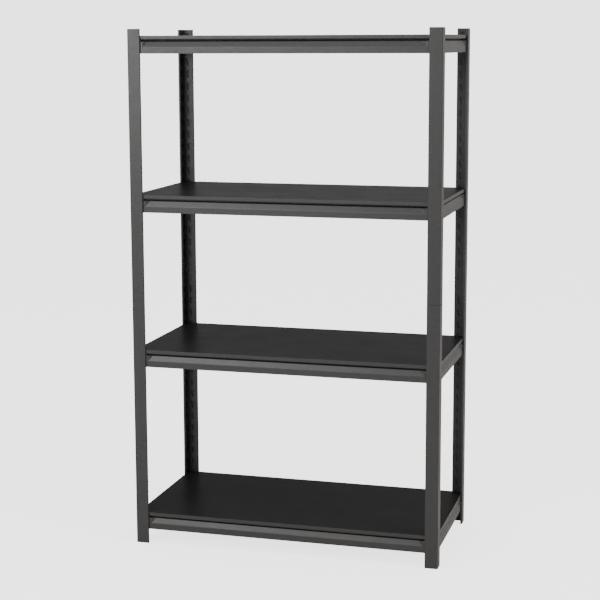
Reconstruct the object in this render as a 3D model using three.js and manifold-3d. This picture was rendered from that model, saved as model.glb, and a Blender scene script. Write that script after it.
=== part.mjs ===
// Boltless steel shelving: four hollow angle posts in two halves each, four levels of
// hook-in beams and a lift-out board on every level. Millimetres, +Z up, front towards -Y.
import * as THREE from 'three';
import { mergeGeometries, mergeVertices } from 'three/addons/utils/BufferGeometryUtils.js';
import Module from 'manifold-3d';

const wasm = await Module();
wasm.setup();

// Whole unit
const WIDTH = 914.4;
const DEPTH = 457.2;
const HEIGHT = 1524;
const SHEET = 1.2; // steel thickness of posts and beams
const GAP = 0.3; // clearance wherever two pieces touch

// Posts: an angle with two flat hollow legs, and keyholes in the inner walls only
const LEG_WIDTH = 38.1;
const LEG_THICKNESS = 6;
const PITCH = 38.1;
const HOLES_PER_HALF = 20;
const SLOT_CENTRE = (LEG_THICKNESS + LEG_WIDTH) / 2; // from the post's outer corner
const SLOT_HALF_WIDTH = 3;
const SLOT_BOTTOM = 2.3; // above each whole pitch
const HOLE_RISE = 17.2; // centre of the round part, above the slot's bottom
const HOLE_RADIUS = 6;

// Couplers: an angle bar inside both halves, with a thin rim between them
const RIM = 1;
const COUPLER_REACH = 42; // into each half
const CORNER_RIB = 4;
const CORNER_RIB_REACH = 8;
const HALF_LENGTH = HEIGHT / 2 - RIM / 2 - GAP;
const UPPER_BASE = HEIGHT - HALF_LENGTH;

// Beams: a lip round the board, a ledge under it, a sloping web and a flat flange
const BEAM_HEIGHT = 50.8;
const BEAM_INSET = LEG_THICKNESS + GAP; // outer plane of a beam, in from the unit's outer plane
const LEDGE_HEIGHT = 40.5;
const LEDGE_DEPTH = 12;
const WEB_TOP = 33;
const WEB_INSET = 5.3; // of the web's top, under the ledge
const BEND_HEIGHT = 18;
const DART_START = 6; // from the post's edge
const DART_END = 20;
const DART_LEDGE_DEPTH = 10.6; // the sharper fold here leaves the ledge's inner edge straight
const TUCK = 1; // how far the full section runs in behind the post

// Studs: riveted into the beam ends, each hooked in a keyhole
const STUD_HEIGHT = 38.4; // above the beam's lower edge
const STUD_RADIUS = 2.7;
const STUD_HEAD_RADIUS = 4.6;
const STUD_HEAD = 1.6;
const STUD_BUTTON = 1;
const STUD_SIDES = 8;

// Levels, from the top: the keyhole that each beam's stud hooks into, counted from the floor
const LEVEL_HOLES = [39, 27, 15, 2];

// Boards
const BOARD_THICKNESS = 8.7;
const BOARD_MARGIN = SHEET + 1.4; // from a beam's outer plane to the board's edge

const steel = new THREE.MeshStandardMaterial({ color: 0x4b4845, roughness: 0.42, metalness: 0.5 });
const plastic = new THREE.MeshStandardMaterial({ color: 0x3a3937, roughness: 0.6, metalness: 0 });
const laminate = new THREE.MeshStandardMaterial({ color: 0x1f1e1f, roughness: 0.38, metalness: 0 });

const shelving = new THREE.Group();

function addPiece(name, geometry, material, x, y, z, turn) {
  const piece = new THREE.Mesh(geometry, material);
  piece.name = name;
  piece.position.set(x, y, z);
  piece.rotation.z = turn;
  shelving.add(piece);
}

function solidFrom(geometry) {
  const bare = geometry.clone();
  bare.deleteAttribute('normal');
  bare.deleteAttribute('uv');
  const merged = mergeVertices(bare, 1e-4);
  const vertProperties = Float32Array.from(merged.attributes.position.array);
  const triVerts = Uint32Array.from(merged.index.array);
  return new wasm.Manifold(new wasm.Mesh({ numProp: 3, vertProperties, triVerts }));
}

function geometryFrom(solid) {
  const mesh = solid.getMesh();
  const geometry = new THREE.BufferGeometry();
  geometry.setAttribute('position', new THREE.BufferAttribute(mesh.vertProperties, 3));
  geometry.setIndex(new THREE.BufferAttribute(mesh.triVerts, 1));
  geometry.computeVertexNormals();
  return geometry;
}

function box(x0, x1, y0, y1, z0, z1) {
  const geometry = new THREE.BoxGeometry(x1 - x0, y1 - y0, z1 - z0);
  geometry.translate((x0 + x1) / 2, (y0 + y1) / 2, (z0 + z1) / 2);
  return geometry;
}

function points(pairs) {
  return pairs.map(([a, b]) => new THREE.Vector2(a, b));
}

function prism(outline, depth) {
  return new THREE.ExtrudeGeometry(outline, { depth, bevelEnabled: false });
}

// The L of a post seen from above, outer corner at the origin, set in all round by `inset`.
function angleOutline(inset) {
  const far = LEG_WIDTH - inset;
  const inner = LEG_THICKNESS - inset;
  return points([[inset, inset], [far, inset], [far, inner], [inner, inner], [inner, far], [inset, far]]);
}

// The right side of a round hole at this angle, as [across, up] from the hole's centre.
function onHole(degrees) {
  const angle = THREE.MathUtils.degToRad(degrees);
  return [HOLE_RADIUS * Math.cos(angle), HOLE_RADIUS * Math.sin(angle)];
}

// A keyhole in the XZ plane: a round hole that runs down into a narrower, blunt-ended slot.
function keyholeCutter(index) {
  const low = index * PITCH + SLOT_BOTTOM;
  const rightSide = [
    [SLOT_HALF_WIDTH / 2, -HOLE_RISE],
    [SLOT_HALF_WIDTH, -HOLE_RISE + SLOT_HALF_WIDTH],
    onHole(-15),
    onHole(60),
  ];
  const leftSide = rightSide.map(([across, up]) => [-across, up]).reverse();
  const cutter = prism(new THREE.Shape(points([...rightSide, ...leftSide])), 2 * SHEET);
  cutter.translate(SLOT_CENTRE, low + HOLE_RISE, 0);
  cutter.rotateX(Math.PI / 2);
  cutter.translate(0, SHEET, 0);
  return cutter;
}

// Half a post standing on the origin, legs along +X and +Y.
function postHalf() {
  const section = new THREE.Shape(angleOutline(0));
  section.holes.push(new THREE.Path(angleOutline(SHEET)));
  const tube = prism(section, HALF_LENGTH);
  const column = mergeGeometries(Array.from({ length: HOLES_PER_HALF }, (_, index) => keyholeCutter(index)));
  const innerWall = LEG_THICKNESS - SHEET / 2;
  const turned = column.clone().rotateZ(Math.PI / 2).translate(innerWall, 0, 0);
  column.translate(0, innerWall, 0);
  return geometryFrom(solidFrom(tube).subtract(solidFrom(column)).subtract(solidFrom(turned)));
}

// An upright prism of this outline, centred on the seam.
function acrossSeam(outline, reach) {
  return solidFrom(prism(new THREE.Shape(outline), 2 * reach).translate(0, 0, -reach));
}

// A right-angled triangle in the post's inner corner.
function cornerOutline(corner, end) {
  return points([[corner, corner], [end, corner], [corner, end]]);
}

// The coupler, centred on the seam: an angle bar, the rim, and a rib up the inner corner.
function coupler() {
  const bar = acrossSeam(angleOutline(SHEET + GAP), COUPLER_REACH);
  const rim = acrossSeam(angleOutline(0), RIM / 2);
  const ribEnd = LEG_THICKNESS + GAP + CORNER_RIB;
  const rib = acrossSeam(cornerOutline(LEG_THICKNESS + GAP, ribEnd), CORNER_RIB_REACH);
  const ribRoot = acrossSeam(cornerOutline(LEG_THICKNESS - SHEET, ribEnd), RIM / 2);
  return geometryFrom(bar.add(rim).add(ribRoot).add(rib));
}

// The other side of a sheet: every corner of its path moved across by the sheet's thickness.
function otherSide(path) {
  const across = path.slice(1).map((corner, i) => {
    const along = corner.clone().sub(path[i]).normalize();
    return new THREE.Vector2(-along.y, along.x);
  });
  return path.map((corner, i) => {
    const before = across[Math.max(i - 1, 0)];
    const after = across[Math.min(i, across.length - 1)];
    const mitre = before.clone().add(after);
    return corner.clone().addScaledVector(mitre, (2 * SHEET) / mitre.lengthSq());
  });
}

// A beam's section as [inward, up] corners: down the outer side, then back up the inner one.
function beamSection(ledgeDepth, webInset) {
  const outer = points([
    [0, BEAM_HEIGHT],
    [0, LEDGE_HEIGHT],
    [ledgeDepth, LEDGE_HEIGHT],
    [webInset, WEB_TOP],
    [0, BEND_HEIGHT],
    [0, 0],
  ]);
  return outer.concat(otherSide(outer).reverse());
}

// The folded sheet between two posts. The web is flattened by a triangular dart at each end.
function beamSheet(postEdge) {
  const full = beamSection(LEDGE_DEPTH, WEB_INSET);
  const flat = beamSection(DART_LEDGE_DEPTH, 0);
  const right = [
    [postEdge - DART_END, full],
    [postEdge - DART_START, flat],
    [postEdge + TUCK, flat],
  ];
  const left = right.map(([x, section]) => [-x, section]).reverse();
  const stations = [...left, ...right];
  const count = flat.length;
  const positions = stations.flatMap(([x, section]) => section.flatMap((corner) => [x, corner.x, corner.y]));
  const faces = [];
  for (let i = 0; i < stations.length - 1; i += 1) {
    for (let j = 0; j < count; j += 1) {
      const next = (j + 1) % count;
      const a = i * count + j;
      const b = i * count + next;
      const c = b + count;
      const d = a + count;
      const onLeft = i < left.length - 1;
      const onOuterSide = j < count / 2;
      faces.push(...(onLeft === onOuterSide ? [a, b, d, b, c, d] : [a, b, c, a, c, d]));
    }
  }
  const lastRing = (stations.length - 1) * count;
  THREE.ShapeUtils.triangulateShape(flat, []).forEach(([a, b, c]) => {
    faces.push(a, c, b, lastRing + a, lastRing + b, lastRing + c);
  });
  const geometry = new THREE.BufferGeometry();
  geometry.setAttribute('position', new THREE.Float32BufferAttribute(positions, 3));
  geometry.setIndex(faces);
  return geometry;
}

// A stud along Y: button inside the beam, shank through both walls, head inside the post.
function stud(x) {
  const headFace = -(SHEET + 2 * GAP);
  const profile = points([
    [0, headFace - STUD_HEAD],
    [STUD_HEAD_RADIUS, headFace - STUD_HEAD],
    [STUD_HEAD_RADIUS, headFace],
    [STUD_RADIUS, headFace],
    [STUD_RADIUS, SHEET / 2],
    [STUD_HEAD_RADIUS, SHEET / 2],
    [STUD_HEAD_RADIUS, SHEET + STUD_BUTTON],
    [0, SHEET + STUD_BUTTON],
  ]);
  return new THREE.LatheGeometry(profile, STUD_SIDES).translate(x, 0, STUD_HEIGHT);
}

// A whole beam along X, outer plane on y = 0 and lower edge on z = 0, for a side of this length.
function beam(side) {
  const postEdge = side / 2 - LEG_WIDTH;
  const end = side / 2 - BEAM_INSET - SHEET - GAP;
  const studX = side / 2 - SLOT_CENTRE;
  let solid = solidFrom(beamSheet(postEdge));
  for (const hand of [-1, 1]) {
    const ends = [hand * end, hand * (postEdge + TUCK / 2)];
    solid = solid.add(solidFrom(box(Math.min(...ends), Math.max(...ends), 0, SHEET, 0, BEAM_HEIGHT)));
    solid = solid.add(solidFrom(stud(hand * studX)));
  }
  return geometryFrom(solid);
}

// Height of keyhole `index` above the floor, less its place within its pitch.
function pitchHeight(index) {
  const inUpperHalf = index >= HOLES_PER_HALF;
  return inUpperHalf ? UPPER_BASE + (index - HOLES_PER_HALF) * PITCH : index * PITCH;
}

const quarter = Math.PI / 2;
const corners = [
  ['front_left', -1, -1, 0],
  ['front_right', 1, -1, quarter],
  ['back_right', 1, 1, 2 * quarter],
  ['back_left', -1, 1, -quarter],
];
const halfGeometry = postHalf();
const couplerGeometry = coupler();
for (const [corner, sideX, sideY, turn] of corners) {
  const x = (sideX * WIDTH) / 2;
  const y = (sideY * DEPTH) / 2;
  addPiece(`post_${corner}_lower`, halfGeometry, steel, x, y, 0, turn);
  addPiece(`post_${corner}_upper`, halfGeometry, steel, x, y, UPPER_BASE, turn);
  addPiece(`coupler_${corner}`, couplerGeometry, plastic, x, y, HEIGHT / 2, turn);
}

const longBeam = beam(WIDTH);
const shortBeam = beam(DEPTH);
const beamX = WIDTH / 2 - BEAM_INSET;
const beamY = DEPTH / 2 - BEAM_INSET;
const boardX = beamX - BOARD_MARGIN;
const boardY = beamY - BOARD_MARGIN;
const boardGeometry = box(-boardX, boardX, -boardY, boardY, 0, BOARD_THICKNESS);
LEVEL_HOLES.forEach((hole, level) => {
  const studHeight = pitchHeight(hole) + SLOT_BOTTOM + GAP + STUD_RADIUS;
  const z = studHeight - STUD_HEIGHT;
  const name = `level_${level + 1}`;
  addPiece(`beam_front_${name}`, longBeam, steel, 0, -beamY, z, 0);
  addPiece(`beam_back_${name}`, longBeam, steel, 0, beamY, z, 2 * quarter);
  addPiece(`beam_left_${name}`, shortBeam, steel, -beamX, 0, z, -quarter);
  addPiece(`beam_right_${name}`, shortBeam, steel, beamX, 0, z, quarter);
  addPiece(`board_${name}`, boardGeometry, laminate, 0, 0, z + LEDGE_HEIGHT + SHEET + GAP, 0);
});

export default shelving;
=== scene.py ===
"""Boltless steel shelving: rolled steel posts and beams in dark powder coat, and charcoal laminate boards.

Metres, +Z up, front towards -Y. Posts, couplers, beams and boards are made finer than the CAD solids and
stand for them one by one, each on the same body and in the same place.
"""

import math

import bmesh
import bpy
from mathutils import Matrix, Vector


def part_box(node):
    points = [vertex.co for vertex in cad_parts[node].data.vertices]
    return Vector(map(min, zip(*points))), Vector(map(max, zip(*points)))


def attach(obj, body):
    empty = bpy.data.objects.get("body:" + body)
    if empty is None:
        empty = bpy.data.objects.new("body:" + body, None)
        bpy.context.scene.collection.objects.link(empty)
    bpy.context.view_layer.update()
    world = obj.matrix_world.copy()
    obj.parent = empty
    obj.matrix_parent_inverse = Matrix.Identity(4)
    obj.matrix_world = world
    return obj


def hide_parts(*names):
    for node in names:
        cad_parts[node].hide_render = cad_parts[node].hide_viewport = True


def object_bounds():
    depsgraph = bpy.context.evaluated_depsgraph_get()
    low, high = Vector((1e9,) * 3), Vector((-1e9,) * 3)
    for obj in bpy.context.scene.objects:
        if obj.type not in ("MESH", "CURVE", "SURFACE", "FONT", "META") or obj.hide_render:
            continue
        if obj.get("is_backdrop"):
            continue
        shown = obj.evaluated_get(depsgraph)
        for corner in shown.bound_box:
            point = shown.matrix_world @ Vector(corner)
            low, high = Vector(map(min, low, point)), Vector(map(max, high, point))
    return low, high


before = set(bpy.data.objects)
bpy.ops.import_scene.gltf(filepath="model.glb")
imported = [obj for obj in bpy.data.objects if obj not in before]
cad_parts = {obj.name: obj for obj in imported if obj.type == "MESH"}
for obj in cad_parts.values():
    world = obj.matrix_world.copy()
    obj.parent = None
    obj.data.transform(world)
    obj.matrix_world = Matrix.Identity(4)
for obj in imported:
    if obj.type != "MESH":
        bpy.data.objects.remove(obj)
CAD_LOW, CAD_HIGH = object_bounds()

MM = 0.001
SHEET = 1.2 * MM
GAP = 0.3 * MM
WIDTH, DEPTH, HEIGHT = CAD_HIGH - CAD_LOW
POST_LOW, POST_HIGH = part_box("post_front_left_lower")
LEG_WIDTH = POST_HIGH.x - POST_LOW.x
HALF_LENGTH = POST_HIGH.z - POST_LOW.z
LEG_THICKNESS = 6.0 * MM
PITCH = 38.1 * MM
HOLES_PER_HALF = 20
SLOT_CENTRE = (LEG_WIDTH + LEG_THICKNESS) / 2
SLOT_RADIUS = 3.0 * MM
SLOT_BOTTOM = 2.3 * MM
HOLE_RISE = 17.2 * MM
HOLE_RADIUS = 6.0 * MM
HOLE_STEPS = 16
SLOT_STEPS = 10
POST_BEND = 1.9 * MM
POST_INNER_BEND = POST_BEND - SHEET + 0.3 * MM
RIM = 1.0 * MM
BEAM_INSET = LEG_THICKNESS + GAP
BEAM_HEIGHT = 50.8 * MM
LEVELS = 4

CORNERS = (
    ("front_left", -1, -1, 0.0),
    ("front_right", 1, -1, math.pi / 2),
    ("back_right", 1, 1, math.pi),
    ("back_left", -1, 1, -math.pi / 2),
)


# ---------------------------------------------------------------- materials

NOISE_LOW = 0.3
NOISE_HIGH = 0.7


def new_material(name, color, roughness):
    material = bpy.data.materials.new(name)
    material.use_nodes = True
    shader = material.node_tree.nodes["Principled BSDF"]
    shader.inputs["Base Color"].default_value = (*color, 1.0)
    shader.inputs["Roughness"].default_value = roughness
    return material, shader


def add_noise(material, scale, detail=3.0, stretch=(1, 1, 1), roughness=0.5):
    nodes, links = material.node_tree.nodes, material.node_tree.links
    coordinates = nodes.new("ShaderNodeTexCoord")
    mapping = nodes.new("ShaderNodeMapping")
    mapping.inputs["Scale"].default_value = stretch
    noise = nodes.new("ShaderNodeTexNoise")
    noise.inputs["Scale"].default_value = scale
    noise.inputs["Detail"].default_value = detail
    noise.inputs["Roughness"].default_value = roughness
    links.new(coordinates.outputs["Object"], mapping.inputs["Vector"])
    links.new(mapping.outputs["Vector"], noise.inputs["Vector"])
    return noise.outputs["Fac"]


def vary(material, shader, socket, factor, low, high):
    """Lets a noise, over its usual range, move a shader input between two numbers or two colours."""
    nodes, links = material.node_tree.nodes, material.node_tree.links
    if isinstance(low, float):
        ramp = nodes.new("ShaderNodeMapRange")
        ramp.inputs["From Min"].default_value = NOISE_LOW
        ramp.inputs["From Max"].default_value = NOISE_HIGH
        ramp.inputs["To Min"].default_value = low
        ramp.inputs["To Max"].default_value = high
        result = ramp.outputs["Result"]
    else:
        ramp = nodes.new("ShaderNodeValToRGB")
        start, end = ramp.color_ramp.elements
        start.position = NOISE_LOW
        start.color = (*low, 1.0)
        end.position = NOISE_HIGH
        end.color = (*high, 1.0)
        result = ramp.outputs["Color"]
    links.new(factor, ramp.inputs[0])
    links.new(result, shader.inputs[socket])


def add_bump(material, shader, height, distance, strength=1.0, onto=None):
    bump = material.node_tree.nodes.new("ShaderNodeBump")
    bump.inputs["Strength"].default_value = strength
    bump.inputs["Distance"].default_value = distance
    material.node_tree.links.new(height, bump.inputs["Height"])
    if onto:
        material.node_tree.links.new(onto, bump.inputs["Normal"])
    material.node_tree.links.new(bump.outputs["Normal"], shader.inputs["Normal"])
    return bump.outputs["Normal"]


def powder_coat():
    material, shader = new_material("powder_coat", (0.024, 0.0228, 0.0222), 0.38)
    shader.inputs["IOR"].default_value = 1.6
    clouds = add_noise(material, scale=9.0, detail=4.0)
    vary(material, shader, "Base Color", clouds, (0.0225, 0.0213, 0.0207), (0.0255, 0.0243, 0.0237))
    smudges = add_noise(material, scale=30.0, detail=5.0)
    vary(material, shader, "Roughness", smudges, 0.36, 0.41)
    peel = add_noise(material, scale=700.0, detail=1.0)
    first = add_bump(material, shader, peel, distance=0.05 * MM, strength=0.5)
    grain = add_noise(material, scale=2600.0, detail=2.0)
    add_bump(material, shader, grain, distance=0.02 * MM, strength=0.5, onto=first)
    return material


def inside_painted_shade():
    """Painted shade: a darker coat on a post's inner side and in its hollow legs, standing in for the shadow
    that falls there.
    """
    material, shader = new_material("inside_painted_shade", (0.02, 0.0193, 0.0188), 0.44)
    shader.inputs["IOR"].default_value = 1.55
    clouds = add_noise(material, scale=14.0, detail=4.0)
    vary(material, shader, "Base Color", clouds, (0.018, 0.0174, 0.0169), (0.022, 0.0212, 0.0207))
    smudges = add_noise(material, scale=30.0, detail=5.0)
    vary(material, shader, "Roughness", smudges, 0.42, 0.47)
    peel = add_noise(material, scale=700.0, detail=1.0)
    add_bump(material, shader, peel, distance=0.05 * MM, strength=0.5)
    return material


def moulded_plastic():
    material, shader = new_material("moulded_plastic", (0.045, 0.043, 0.041), 0.55)
    fine = add_noise(material, scale=1500.0, detail=2.0)
    vary(material, shader, "Roughness", fine, 0.5, 0.62)
    tone = add_noise(material, scale=60.0, detail=3.0)
    vary(material, shader, "Base Color", tone, (0.041, 0.039, 0.037), (0.05, 0.048, 0.046))
    add_bump(material, shader, fine, distance=0.04 * MM, strength=0.6)
    return material


def board_laminate():
    material, shader = new_material("board_laminate", (0.017, 0.0166, 0.0166), 0.38)
    shader.inputs["IOR"].default_value = 1.08
    clouds = add_noise(material, scale=5.0, detail=4.0)
    vary(material, shader, "Base Color", clouds, (0.0162, 0.0158, 0.0158), (0.0178, 0.0174, 0.0174))
    smudges = add_noise(material, scale=14.0, detail=6.0)
    vary(material, shader, "Roughness", smudges, 0.36, 0.4)
    pores = add_noise(material, scale=1200.0, detail=2.0)
    add_bump(material, shader, pores, distance=0.03 * MM, strength=0.5)
    return material


def board_edge():
    material, shader = new_material("board_edge", (0.03, 0.026, 0.022), 0.75)
    chips = add_noise(material, scale=420.0, detail=4.0, stretch=(1, 1, 2.5), roughness=0.65)
    vary(material, shader, "Base Color", chips, (0.018, 0.015, 0.013), (0.05, 0.041, 0.033))
    add_bump(material, shader, chips, distance=0.25 * MM, strength=0.6)
    return material


STEEL = powder_coat()
# The inside material is painted shade: a darker colour on the posts' inner sides and in their hollows.
INSIDE_PAINTED_SHADE = inside_painted_shade()
PLASTIC = moulded_plastic()
LAMINATE = board_laminate()
EDGE = board_edge()


# ---------------------------------------------------------------- shape helpers

def bend_points(start, corner, end, steps):
    """Points on a smooth bend from start to end in place of a corner."""
    points = []
    for step in range(steps + 1):
        t = step / steps
        points.append(start * (1 - t) ** 2 + corner * 2 * t * (1 - t) + end * t * t)
    return points


def rounded(corners, cuts, steps=5):
    """A closed outline with each corner rounded, from its cut's length before it to as far after it."""
    outline = []
    count = len(corners)
    for i, corner in enumerate(corners):
        before = corners[i - 1]
        after = corners[(i + 1) % count]
        start = corner + (before - corner).normalized() * cuts[i]
        end = corner + (after - corner).normalized() * cuts[i]
        outline += bend_points(start, corner, end, steps)
    return outline


def angle_outline(inset, bend):
    """The L of a post from above, with its outer corner at the origin, set in all round by inset."""
    far = LEG_WIDTH - inset
    inner = LEG_THICKNESS - inset
    corners = [(inset, inset), (far, inset), (far, inner), (inner, inner), (inner, far), (inset, far)]
    concave = bend * 0.6 + inset * 0.4
    cuts = (bend, bend, bend, concave, bend, bend)
    return rounded([Vector(c) for c in corners], cuts)


def mesh_from(name, vertices, faces):
    mesh = bpy.data.meshes.new(name)
    mesh.from_pydata(vertices, [], faces)
    mesh.validate()
    mesh.update()
    return mesh


def prism_data(outline, low, high, plane="xy"):
    """Vertices and faces of an outline (counter-clockwise) drawn out from low to high."""
    count = len(outline)
    place = {"xy": lambda p, h: (p.x, p.y, h), "xz": lambda p, h: (p.x, h, p.y)}[plane]
    vertices = [place(p, low) for p in outline] + [place(p, high) for p in outline]
    faces = [tuple(range(count))[::-1], tuple(range(count, 2 * count))]
    faces += [(i, (i + 1) % count, (i + 1) % count + count, i + count) for i in range(count)]
    if plane == "xz":
        faces = [face[::-1] for face in faces]
    return vertices, faces


def merged(parts):
    """One vertex and face list from several."""
    vertices, faces = [], []
    for part_vertices, part_faces in parts:
        faces += [tuple(i + len(vertices) for i in face) for face in part_faces]
        vertices += part_vertices
    return vertices, faces


def scratch_object(mesh):
    obj = bpy.data.objects.new(mesh.name, mesh)
    bpy.context.scene.collection.objects.link(obj)
    return obj


def settle(obj):
    """Applies an object's modifiers and returns the bare mesh."""
    graph = bpy.context.evaluated_depsgraph_get()
    mesh = bpy.data.meshes.new_from_object(obj.evaluated_get(graph))
    bpy.data.objects.remove(obj)
    return mesh


SHARP_ABOVE = math.radians(40.0)
BEVEL_ABOVE = math.radians(50.0)


def smooth_by_angle(mesh):
    work = bmesh.new()
    work.from_mesh(mesh)
    for face in work.faces:
        face.smooth = True
    for edge in work.edges:
        edge.smooth = len(edge.link_faces) == 2 and edge.calc_face_angle(0.0) < SHARP_ABOVE
    work.to_mesh(mesh)
    work.free()


def finished(mesh, bevel):
    """Softens the sharp edges, and keeps the shading of flat faces flat."""
    obj = scratch_object(mesh)
    edge = obj.modifiers.new("edge", "BEVEL")
    edge.width = bevel
    edge.segments = 2
    edge.limit_method = "ANGLE"
    edge.angle_limit = BEVEL_ABOVE
    edge.use_clamp_overlap = True
    edge.harden_normals = False
    mesh = settle(obj)
    smooth_by_angle(mesh)
    return mesh


def place(name, mesh, location, turn, body, node, slot):
    """Stands a mesh in the scene in place of a CAD node, on the node's body."""
    obj = bpy.data.objects.new(name, mesh)
    bpy.context.scene.collection.objects.link(obj)
    obj.location = location
    obj.rotation_euler = (0.0, 0.0, turn)
    weighted = obj.modifiers.new("flat_faces", "WEIGHTED_NORMAL")
    weighted.keep_sharp = True
    weighted.weight = 50
    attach(obj, body)
    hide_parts(node)


# ---------------------------------------------------------------- posts

def keyhole_arc(height, radius, start, sweep, steps):
    """Points on an arc about the keyhole's middle line at this height, as (across, up)."""
    angles = [start + step / steps * sweep for step in range(steps + 1)]
    return [Vector((SLOT_CENTRE + radius * math.cos(a), height + radius * math.sin(a))) for a in angles]


def keyhole_outline(low):
    """A wide round hole running down into a narrower round-bottomed slot, as (across, up)."""
    centre = low + HOLE_RISE
    slot = low + SLOT_RADIUS
    lean = math.asin((HOLE_RADIUS - SLOT_RADIUS) / (centre - slot))
    top = keyhole_arc(centre, HOLE_RADIUS, -lean, math.pi + 2 * lean, HOLE_STEPS)
    bottom = keyhole_arc(slot, SLOT_RADIUS, math.pi + lean, math.pi - 2 * lean, SLOT_STEPS)
    return top + bottom


def post_mesh():
    """Half a post: two hollow legs of folded sheet, with keyholes through their inner walls."""
    outer = angle_outline(0.0, POST_BEND)
    inner = angle_outline(SHEET, POST_INNER_BEND)
    count = len(outer)
    vertices = [(p.x, p.y, z) for z in (0.0, HALF_LENGTH) for loop in (outer, inner) for p in loop]
    outer_low, inner_low, outer_high, inner_high = 0, count, 2 * count, 3 * count
    faces = []
    for i in range(count):
        j = (i + 1) % count
        faces.append((outer_low + i, outer_low + j, outer_high + j, outer_high + i))
        faces.append((inner_low + j, inner_low + i, inner_high + i, inner_high + j))
        faces.append((outer_low + j, outer_low + i, inner_low + i, inner_low + j))
        faces.append((outer_high + i, outer_high + j, inner_high + j, inner_high + i))
    mesh = mesh_from("post", vertices, faces)
    mesh.materials.append(STEEL)
    mesh.materials.append(INSIDE_PAINTED_SHADE)
    # The L has six corners. The walls before and after its fourth, the concave one, face the unit's inside.
    # They and the walls in the hollow take the darker coat, painted shade for the shadow on the inner side
    # and inside the legs.
    corner_points = count // 6
    for index, face in enumerate(mesh.polygons):
        i, side = divmod(index, 4)
        shade_on_inner_side = side == 0 and 3 * corner_points - 1 <= i < 4 * corner_points
        shade_in_hollow = side == 1
        face.material_index = 1 if shade_on_inner_side or shade_in_hollow else 0
    post = scratch_object(mesh)
    wall = LEG_THICKNESS - SHEET
    cutters = []
    for index in range(HOLES_PER_HALF):
        outline = keyhole_outline(index * PITCH + SLOT_BOTTOM)
        column, column_faces = prism_data(outline, wall - SHEET / 2, wall + 3 * SHEET / 2, "xz")
        cutters.append((column, column_faces))
        cutters.append(([(y, x, z) for x, y, z in column], [face[::-1] for face in column_faces]))
    cutter = scratch_object(mesh_from("keyholes", *merged(cutters)))
    cut = post.modifiers.new("keyholes", "BOOLEAN")
    cut.operation = "DIFFERENCE"
    cut.solver = "EXACT"
    cut.object = cutter
    mesh = settle(post)
    bpy.data.objects.remove(cutter)
    return finished(mesh, bevel=0.25 * MM)


def coupler_mesh():
    """A bar inside both halves of a post, with a rim in their seam and a rib in the inner corner."""
    reach = 42.0 * MM
    rib_reach = 8.0 * MM
    rib_start = LEG_THICKNESS + GAP
    rib_end = rib_start + 4.0 * MM
    wall = LEG_THICKNESS - SHEET
    root_end = RIM / 2 - 0.05 * MM
    bar = prism_data(angle_outline(SHEET + GAP, bend=0.5 * MM), -reach, reach)
    rim = prism_data(angle_outline(0.0, POST_BEND), -RIM / 2, RIM / 2)
    corners = [Vector(c) for c in ((rib_start, rib_start), (rib_end, rib_start), (rib_start, rib_end))]
    rib = prism_data(rounded(corners, (0.3 * MM, 0.5 * MM, 0.5 * MM), steps=2), -rib_reach, rib_reach)
    corners = [Vector(c) for c in ((wall, wall), (rib_end, wall), (wall, rib_end))]
    root = prism_data(corners, -root_end, root_end)
    mesh = finished(mesh_from("coupler", *merged([bar, rim, rib, root])), bevel=0.2 * MM)
    mesh.materials.append(PLASTIC)
    return mesh


# ---------------------------------------------------------------- beams

LEDGE_HEIGHT = 40.5 * MM
LEDGE_DEPTH = 12.0 * MM
DART_LEDGE_DEPTH = 10.6 * MM
GROOVE_BOTTOM = 35.5 * MM
GROOVE_LEAN = 1.0 * MM
WEB_TOP = 33.0 * MM
WEB_INSET = 5.3 * MM
BEND_HEIGHT = 18.0 * MM
DART_START = 6.0 * MM
DART_END = 20.0 * MM
DART_STEPS = 12
DART_EASE = 0.02
OVERRUN = 1.0 * MM
PLAIN_RUN = 12.0 * MM
LEAST_CREASE = 0.03
LEAST_PRESSED = 1e-6
FOLD = 1.6 * MM
FOLD_STEPS = 5
STUD_HEIGHT = 38.4 * MM
PLATE_START = 0.2 * MM
PLATE_CORNER = 2.5 * MM
PLATE_CUT = 0.1 * MM
PLATE_SKIN = 0.02 * MM


def beam_path(pressed):
    """A beam's outer side from lip to lower edge, as (inward, up).

    pressed runs from 0 beside the post, where the web is flat, to 1 clear of it, where the web is pressed in.
    """
    inset = WEB_INSET * pressed
    ledge = DART_LEDGE_DEPTH + (LEDGE_DEPTH - DART_LEDGE_DEPTH) * pressed
    crease = min(max(pressed, LEAST_CREASE), 1 - LEAST_CREASE)
    crease_inset = inset * min(crease / max(pressed, LEAST_PRESSED), 1.0)
    crease_height = BEND_HEIGHT + (WEB_TOP - BEND_HEIGHT) * crease
    corners = [
        Vector((0.0, BEAM_HEIGHT)),
        Vector((0.0, LEDGE_HEIGHT)),
        Vector((ledge, LEDGE_HEIGHT)),
        Vector((ledge - GROOVE_LEAN, GROOVE_BOTTOM)),
        Vector((inset, WEB_TOP)),
        Vector((crease_inset, crease_height)),
        Vector((0.0, BEND_HEIGHT)),
        Vector((0.0, 0.0)),
    ]
    path = [corners[0]]
    for i in range(1, len(corners) - 1):
        back = corners[i - 1] - corners[i]
        ahead = corners[i + 1] - corners[i]
        cut = min(FOLD, 0.45 * back.length, 0.45 * ahead.length)
        start = corners[i] + back.normalized() * cut
        end = corners[i] + ahead.normalized() * cut
        path += bend_points(start, corners[i], end, FOLD_STEPS)
    path.append(corners[-1])
    return path


def lathe_data(profile, x, height, sides=28):
    """A turned shape about the Y direction through (x, height). profile is (radius, y) from axis to axis."""
    vertices, faces = [], []
    for radius, y in profile:
        for k in range(sides):
            angle = 2 * math.pi * k / sides
            vertices.append((x + radius * math.cos(angle), y, height + radius * math.sin(angle)))
    for ring in range(len(profile) - 1):
        for k in range(sides):
            n = (k + 1) % sides
            low, high = ring * sides, (ring + 1) * sides
            faces.append((low + k, high + k, high + n, low + n))
    faces.append(tuple(range(sides)))
    faces.append(tuple(range((len(profile) - 1) * sides, len(profile) * sides))[::-1])
    return vertices, faces


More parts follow.
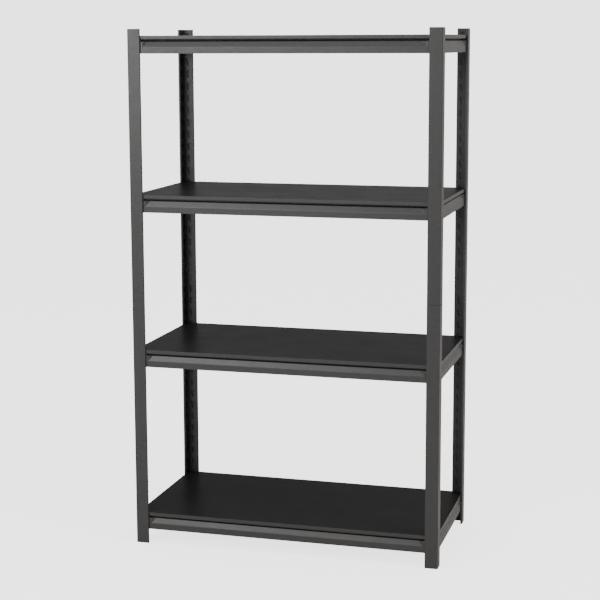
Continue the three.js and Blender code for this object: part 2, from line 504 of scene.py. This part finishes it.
def stud_data(x):
    """The riveted stud at x: a low button on the beam's inside, and a headed shank that hooks a keyhole."""
    button = [(0.4, 2.2), (1.6, 2.15), (2.8, 2.0), (3.8, 1.75), (4.4, 1.4), (4.6, 1.15)]
    shank = [(2.7, 1.15), (2.7, -1.8), (4.4, -1.85), (4.6, -2.1), (4.5, -2.8), (3.8, -3.25), (0.5, -3.38)]
    profile = [(radius * MM, y * MM) for radius, y in button + shank]
    return lathe_data(profile, x, STUD_HEIGHT)


def beam_mesh(side):
    """A beam for a side of this length: the rolled sheet, and a plate and a stud behind each post."""
    post_edge = side / 2 - LEG_WIDTH
    stations = [(post_edge + OVERRUN, 0.0), (post_edge - DART_START + OVERRUN, 0.0)]
    for step in range(DART_STEPS + 1):
        along = step / DART_STEPS
        pressed = min(max((along - DART_EASE) / (1 - 2 * DART_EASE), 0.0), 1.0)
        stations.append((post_edge - DART_START - (DART_END - DART_START) * along, pressed))
    stations.append((post_edge - DART_END - OVERRUN, 1.0))
    stations.append((post_edge - DART_END - PLAIN_RUN, 1.0))
    both_ends = [(-x, pressed) for x, pressed in stations] + stations[::-1]
    rows = [[(x, p.x, p.y) for p in beam_path(pressed)] for x, pressed in both_ends]
    count = len(rows[0])
    vertices = [vertex for row in rows for vertex in row]
    faces = []
    for i in range(len(rows) - 1):
        for j in range(count - 1):
            a = i * count + j
            faces.append((a, a + count, a + count + 1, a + 1))
    sheet = scratch_object(mesh_from("sheet", vertices, faces))
    thick = sheet.modifiers.new("thick", "SOLIDIFY")
    thick.thickness = SHEET
    thick.offset = -1.0
    thick.use_even_offset = True
    thick.use_rim = True
    sheet_mesh = settle(sheet)
    parts = [([tuple(v.co) for v in sheet_mesh.vertices], [tuple(f.vertices) for f in sheet_mesh.polygons])]
    end = side / 2 - BEAM_INSET - SHEET - GAP
    for hand in (-1, 1):
        near, far = hand * (post_edge + PLATE_START), hand * end
        low, high = min(near, far), max(near, far)
        corners = [Vector(c) for c in ((low, 0.0), (high, 0.0), (high, BEAM_HEIGHT), (low, BEAM_HEIGHT))]
        left = PLATE_CORNER if hand < 0 else PLATE_CUT
        right = PLATE_CORNER if hand > 0 else PLATE_CUT
        outline = rounded(corners, (left, right, right, left))
        parts.append(prism_data(outline, PLATE_SKIN, SHEET - PLATE_SKIN, "xz"))
        parts.append(stud_data(hand * (side / 2 - SLOT_CENTRE)))
    mesh = finished(mesh_from("beam", *merged(parts)), bevel=0.25 * MM)
    mesh.materials.append(STEEL)
    return mesh


# ---------------------------------------------------------------- boards

BOARD_CORNER = 1.5 * MM
SIDE_BELOW = 0.5


def board_mesh(low, high):
    """A board between these corners, with laminate on its faces and bare board at its edges."""
    corners = [Vector(c) for c in ((low.x, low.y), (high.x, low.y), (high.x, high.y), (low.x, high.y))]
    outline = rounded(corners, (BOARD_CORNER,) * 4, steps=3)
    mesh = finished(mesh_from("board", *prism_data(outline, low.z, high.z)), bevel=0.5 * MM)
    mesh.materials.append(LAMINATE)
    mesh.materials.append(EDGE)
    for face in mesh.polygons:
        face.material_index = 1 if abs(face.normal.z) < SIDE_BELOW else 0
    return mesh


# ---------------------------------------------------------------- assembly

post = post_mesh()
coupler = coupler_mesh()
for corner, side_x, side_y, turn in CORNERS:
    x, y = side_x * WIDTH / 2, side_y * DEPTH / 2
    for half in ("lower", "upper"):
        node = f"post_{corner}_{half}"
        place(f"{node}_steel", post, (x, y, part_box(node)[0].z), turn, "frame", node, "frame_steel")
    node = f"coupler_{corner}"
    place(f"{node}_fine", coupler, (x, y, HEIGHT / 2), turn, "frame", node, "coupler_plastic")

long_beam = beam_mesh(WIDTH)
short_beam = beam_mesh(DEPTH)
BEAMS = (
    ("front", long_beam, 0.0, BEAM_INSET - DEPTH / 2, 0.0),
    ("back", long_beam, 0.0, DEPTH / 2 - BEAM_INSET, math.pi),
    ("left", short_beam, BEAM_INSET - WIDTH / 2, 0.0, -math.pi / 2),
    ("right", short_beam, WIDTH / 2 - BEAM_INSET, 0.0, math.pi / 2),
)
for level in range(1, LEVELS + 1):
    for side, mesh, x, y, turn in BEAMS:
        node = f"beam_{side}_level_{level}"
        place(f"{node}_steel", mesh, (x, y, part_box(node)[0].z), turn, "frame", node, "frame_steel")
    node = f"board_level_{level}"
    low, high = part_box(node)
    place(f"{node}_laminate", board_mesh(low, high), (0, 0, 0), 0.0, f"shelf_{level}", node, "board")


# ---------------------------------------------------------------- floor, lights and camera

WHITE = (1.0, 1.0, 1.0, 1.0)
NEUTRAL = (1.0, 1.0, 1.0)
WARM = (1.0, 0.89, 0.8)
FLOOR_REACH = 80.0
SKY_LOW = 0.03
SKY_HIGH = 0.28


def pale_floor(glow_strength):
    """A pale floor. Its glow is seen by the camera only, and doesn't light the unit."""
    corners = [(x * FLOOR_REACH, y * FLOOR_REACH, 0.0) for x, y in ((-1, -1), (1, -1), (1, 1), (-1, 1))]
    mesh = mesh_from("floor", corners, [(0, 1, 2, 3)])
    floor = scratch_object(mesh)
    floor.name = "floor"
    material, shader = new_material("pale_floor", (0.82, 0.82, 0.82), 0.9)
    tone = add_noise(material, scale=3.0, detail=3.0)
    nodes, links = material.node_tree.nodes, material.node_tree.links
    vary(material, shader, "Base Color", tone, (0.81, 0.81, 0.81), (0.83, 0.83, 0.83))
    seen = nodes.new("ShaderNodeLightPath")
    glow = nodes.new("ShaderNodeMath")
    glow.operation = "MULTIPLY"
    glow.inputs[1].default_value = glow_strength
    links.new(seen.outputs["Is Camera Ray"], glow.inputs[0])
    shader.inputs["Emission Color"].default_value = WHITE
    links.new(glow.outputs["Value"], shader.inputs["Emission Strength"])
    mesh.materials.append(material)
    floor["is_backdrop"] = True


def surroundings(near_horizon, overhead, backdrop):
    """A soft sky that lights the unit, and a pale backdrop that only the camera sees in its place."""
    world = bpy.data.worlds.new("studio")
    world.use_nodes = True
    nodes, links = world.node_tree.nodes, world.node_tree.links
    direction = nodes.new("ShaderNodeTexCoord")
    parts = nodes.new("ShaderNodeSeparateXYZ")
    links.new(direction.outputs["Generated"], parts.inputs["Vector"])
    height = nodes.new("ShaderNodeMapRange")
    height.interpolation_type = "SMOOTHSTEP"
    height.inputs["From Min"].default_value = SKY_LOW
    height.inputs["From Max"].default_value = SKY_HIGH
    height.inputs["To Min"].default_value = near_horizon
    height.inputs["To Max"].default_value = overhead
    links.new(parts.outputs["Z"], height.inputs["Value"])
    sky = nodes["Background"]
    sky.inputs["Color"].default_value = WHITE
    links.new(height.outputs["Result"], sky.inputs["Strength"])
    pale = nodes.new("ShaderNodeBackground")
    pale.inputs["Color"].default_value = WHITE
    pale.inputs["Strength"].default_value = backdrop
    seen = nodes.new("ShaderNodeLightPath")
    either = nodes.new("ShaderNodeMixShader")
    links.new(seen.outputs["Is Camera Ray"], either.inputs["Fac"])
    links.new(sky.outputs["Background"], either.inputs[1])
    links.new(pale.outputs["Background"], either.inputs[2])
    links.new(either.outputs["Shader"], nodes["World Output"].inputs["Surface"])
    bpy.context.scene.world = world


def softbox(name, azimuth, elevation, distance, width, height, power, color=NEUTRAL):
    """An area light that faces the middle of the unit. Azimuth 0 is in front, and 90 on the right."""
    light = bpy.data.lights.new(name, "AREA")
    light.shape = "RECTANGLE"
    light.size = width
    light.size_y = height
    light.energy = power
    light.color = color
    obj = bpy.data.objects.new(name, light)
    bpy.context.scene.collection.objects.link(obj)
    a, e = math.radians(azimuth), math.radians(elevation)
    away = Vector((math.sin(a) * math.cos(e), -math.cos(a) * math.cos(e), math.sin(e)))
    target = Vector((0.0, 0.0, HEIGHT / 2))
    obj.location = target + away * distance
    obj.rotation_euler = away.to_track_quat("Z", "Y").to_euler()


def camera(location, yaw, pitch, roll, lens, shift_up):
    data = bpy.data.cameras.new("camera")
    obj = bpy.data.objects.new("camera", data)
    bpy.context.scene.collection.objects.link(obj)
    data.lens = lens
    data.shift_y = shift_up
    obj.location = location
    obj.rotation_mode = "XYZ"
    obj.rotation_euler = (math.pi / 2 - pitch, roll, yaw)
    bpy.context.scene.camera = obj


pale_floor(glow_strength=2.4)
surroundings(near_horizon=0.6, overhead=0.56, backdrop=2.9)
softbox(
    "key_front_left", azimuth=-30.0, elevation=20.0, distance=4.0,
    width=1.4, height=2.0, power=45.0,
)
softbox(
    "key_front", azimuth=-14.0, elevation=12.0, distance=6.0,
    width=1.6, height=2.6, power=34.0,
)
softbox(
    "top_front", azimuth=-15.0, elevation=60.0, distance=4.0,
    width=2.6, height=2.0, power=24.0,
)
softbox(
    "fill_front_right", azimuth=72.0, elevation=38.0, distance=4.0,
    width=1.6, height=2.4, power=66.0, color=WARM,
)
softbox(
    "fill_back_right", azimuth=165.0, elevation=3.0, distance=6.0,
    width=2.6, height=2.6, power=2.5, color=WARM,
)
camera((1.186, -4.273, 1.487), yaw=0.2723, pitch=0.1474, roll=0.0034, lens=90.0, shift_up=-0.06)

low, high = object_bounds()
